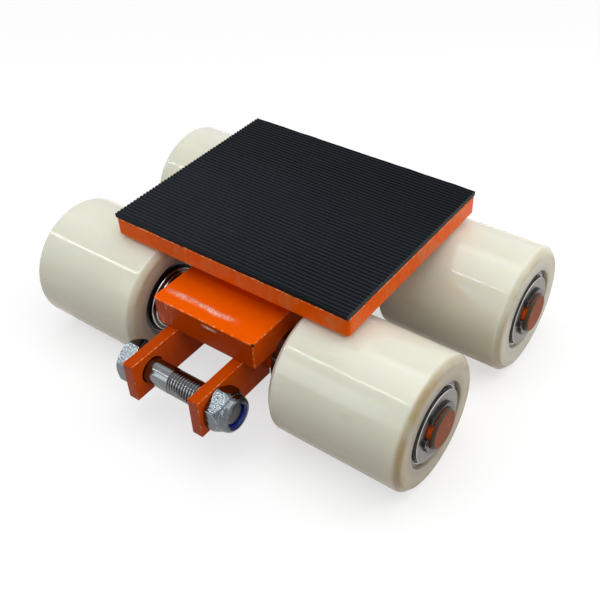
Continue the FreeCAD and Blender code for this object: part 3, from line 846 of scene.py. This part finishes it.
def rib_line(top, floor):
    """The (y, z) points of the mat's top from front to back: grooves with steep walls between flat ribs."""
    border, pitch, groove, slope = 0.3 * MM, 2.8 * MM, 1.3 * MM, 0.12 * MM
    grooves = int((mat_high.y - mat_low.y - 2 * border - groove) / pitch) + 1
    points = [(mat_low.y, top)]
    for index in range(grooves):
        at = mat_low.y + border + pitch * index
        points += [(at, top), (at + slope, floor), (at + groove - slope, floor), (at + groove, top)]
    return points + [(mat_high.y, top)]


def cut_and_wear(shape, floor):
    """Gives the mat hand-cut sides that reach out a little, wandering ribs and a slightly worn top."""
    reach = 0.2 * MM
    for vert in shape.verts:
        wander = noise.noise(vert.co * 90) * 0.45 * MM
        from_pivot = vert.co - pivot
        if mat_high.x - abs(from_pivot.x) < MERGE:
            ragged = noise.noise(Vector((vert.co.y * 700, vert.co.z * 50, vert.co.x))) * 0.15 * MM
            vert.co.x += math.copysign(reach + ragged, from_pivot.x)
        if mat_high.y - pivot.y - abs(from_pivot.y) < MERGE:
            vert.co.y += math.copysign(reach + wander, from_pivot.y)
        elif vert.co.z > mat_low.z + MERGE:
            vert.co.y += wander * 0.2
        if vert.co.z > floor + MERGE:
            vert.co.z -= abs(noise.noise(vert.co * 40)) * 0.12 * MM


def make_mat():
    """Ribbed rubber sheet, drawn along X from its end profile step by step."""
    top = mat_high.z - 0.02 * MM
    floor = top - 0.6 * MM
    steps = 48
    advance = X_AXIS * ((mat_high.x - mat_low.x) / steps)
    points = rib_line(top, floor)
    shape = bmesh.new()
    heads = [shape.verts.new((mat_low.x, y, z)) for y, z in points]
    feet = [shape.verts.new((mat_low.x, y, mat_low.z)) for y, _ in points]
    end = [shape.faces.new(corners) for corners in zip(heads, heads[1:], feet[1:], feet)]
    for step in range(steps):
        made = bmesh.ops.extrude_face_region(shape, geom=end)["geom"]
        verts = [item for item in made if isinstance(item, bmesh.types.BMVert)]
        if step:
            bmesh.ops.delete(shape, geom=end, context="FACES")
        end = [item for item in made if isinstance(item, bmesh.types.BMFace)]
        bmesh.ops.translate(shape, verts=verts, vec=advance)
    cut_and_wear(shape, floor)
    round_edges(shape, 0.14 * MM, segments=2)
    add_piece("ribbed_mat", shape, rubber, "deck", "black_rubber", "rubber_mat")


# Swivel under the deck

def make_swivel():
    """King pin, its washer and circlip, the two thrust races, the cage and its rollers, edges eased."""
    pieces = (
        ("king_pin", "king_pin_turned", ground_steel, "deck", "bearing_steel", 0.4 * MM),
        ("king_pin_washer", "pin_washer", washer_zinc, "deck", "washer_steel", 0.4 * MM),
        ("thrust_upper_race", "upper_race", ground_steel, "deck", "bearing_steel", 0.5 * MM),
        ("thrust_lower_race", "lower_race", ground_steel, "chassis", "bearing_steel", 0.5 * MM),
        ("thrust_cage", "roller_cage", bronze, "thrust_cage", "bronze", 0.2 * MM),
        ("thrust_rollers", "cage_rollers", ground_steel, "thrust_cage", "bearing_steel", 0.3 * MM),
    )
    for node, name, material, body, slot, width in pieces:
        shape = copy_of(node)
        round_edges(shape, width, segments=2)
        add_piece(name, shape, material, body, slot, node)
    low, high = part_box("king_pin_circlip")
    bore = 14.42 * MM
    clip = bmesh.new()
    add_circlip(clip, pivot + Z_AXIS * low.z, Z_AXIS, X_AXIS, bore, high.z - low.z)
    round_edges(clip, 0.18 * MM, segments=2)
    add_piece("pin_circlip", clip, black_spring, "deck", "black_spring_steel", "king_pin_circlip")


def finish_hidden_nodes():
    hidden = {
        "bearing_inner_rings": ground_steel,
        "spacer_sleeves": ground_steel,
        "king_pin_bush": bronze,
    }
    for node, material in hidden.items():
        nodes[node].data.materials.clear()
        nodes[node].data.materials.append(material)


make_rollers()
make_bearings()
make_axles()
make_axle_stacks()
make_chassis()
make_tow_bolt()
make_tow_nut()
make_deck_plate()
make_mat()
make_swivel()
finish_hidden_nodes()


# Floor, light and camera

def add_floor():
    """White wherever it is seen, with a pale shadow; dull brown for the light that it throws back up."""
    shape = bmesh.new()
    bmesh.ops.create_grid(shape, x_segments=1, y_segments=1, size=4)
    mesh = bpy.data.meshes.new("floor")
    shape.to_mesh(mesh)
    shape.free()
    paint = Finish("floor_white")
    camera_ray, mirrored_ray = paint.rays()
    colour = paint.mix(mirrored_ray, (0.20, 0.135, 0.08), (0.80, 0.80, 0.80))
    glow = paint.mix(mirrored_ray, (0, 0, 0), (0.36, 0.33, 0.30))
    close = paint.near((0, 0, 0), 1.2, 0.5)
    seen_colour = paint.mix(close, (0, 0, 0), (0.42, 0.42, 0.42))
    seen_glow = paint.mix(close, (1, 1, 1), (0.62, 0.62, 0.62))
    material = paint.done(
        Base_Color=paint.mix(camera_ray, colour, seen_colour),
        Emission_Color=paint.mix(camera_ray, glow, seen_glow),
        Emission_Strength=1,
        Roughness=0.9,
        Specular_IOR_Level=0.0,
    )
    mesh.materials.append(material)
    floor = bpy.data.objects.new("floor", mesh)
    bpy.context.scene.collection.objects.link(floor)


def add_softbox(name, place, target, width, height, watts, along=X_AXIS, tint=(1, 1, 1)):
    """A soft lamp whose width runs as nearly along the given axis as its aim allows."""
    lamp = bpy.data.lights.new(name, "AREA")
    lamp.shape = "RECTANGLE"
    lamp.size = width
    lamp.size_y = height
    lamp.energy = watts
    lamp.color = tint
    box = bpy.data.objects.new(name, lamp)
    back = (Vector(place) - Vector(target)).normalized()
    side = (along - back * along.dot(back)).normalized()
    turned = Matrix((side, back.cross(side), back)).transposed().to_4x4()
    box.matrix_world = Matrix.Translation(place) @ turned
    bpy.context.scene.collection.objects.link(box)


def add_sky():
    """A plain grey sky, brighter towards the right and the back; white wherever it is seen."""
    world = bpy.data.worlds.new("studio")
    world.use_nodes = True
    graph = Graph(world.node_tree)
    direction = graph.node("ShaderNodeTexCoord", output="Generated")
    brightest = (0.85, 0.50, 0.15)
    towards = graph.node(
        "ShaderNodeVectorMath", {"operation": "DOT_PRODUCT"}, {0: direction, 1: brightest}, output="Value")
    limits = {"From Min": -0.7, "From Max": 0.7, "To Min": 0.12, "To Max": 0.52}
    level = graph.node("ShaderNodeMapRange", inputs={"Value": towards, **limits})
    camera_ray, mirrored_ray = graph.rays()
    seen = (camera_ray + mirrored_ray).up_to_one()
    sky = graph.tree.nodes["Background"]
    graph.put(sky.inputs["Color"], (1, 1, 1))
    graph.put(sky.inputs["Strength"], level + seen * (1 - level))
    bpy.context.scene.world = world


def add_camera():
    """The photograph's own view, found by fitting its edges."""
    place = Vector((0.27543, -0.32863, 0.39862))
    heading, tilt, roll = math.radians(38.07), math.radians(49.59), math.radians(-2.85)
    lens = bpy.data.cameras.new("view")
    lens.sensor_width = 36
    lens.lens = 52.2
    lens.shift_x = -0.0062
    lens.shift_y = -0.0009
    lens.clip_start = 0.01
    camera = bpy.data.objects.new("view", lens)
    turned = Matrix.Rotation(heading, 4, "Z") @ Matrix.Rotation(tilt, 4, "X") @ Matrix.Rotation(roll, 4, "Z")
    camera.matrix_world = Matrix.Translation(place) @ turned
    bpy.context.scene.collection.objects.link(camera)
    bpy.context.scene.camera = camera


add_floor()
add_softbox(
    "top_light", place=(0.22, -0.05, 1.6), target=(0, 0, 0),
    width=1.8, height=1.6, watts=16.0)
add_softbox(
    "right_fill", place=(0.55, 0.45, 0.35), target=(0.1, 0.05, 0.05),
    width=0.4, height=0.4, watts=0.95, along=Y_AXIS)
add_softbox(
    "front_window", place=(-0.60, -1.05, 0.65), target=(0, 0, 0.05),
    width=0.6, height=0.6, watts=2.1, tint=(0.84, 0.95, 1.0))
add_softbox(
    "front_tube", place=(-0.89, -0.50, 0.85), target=(-0.095, -0.065, 0.075),
    width=1.6, height=0.04, watts=2.4)
add_softbox(
    "back_tube", place=(-0.84, 0.30, 1.25), target=(0, -0.06, 0.07),
    width=1.4, height=0.03, watts=0.5)
add_sky()
add_camera()
bpy.context.scene.view_settings.view_transform = "Standard"
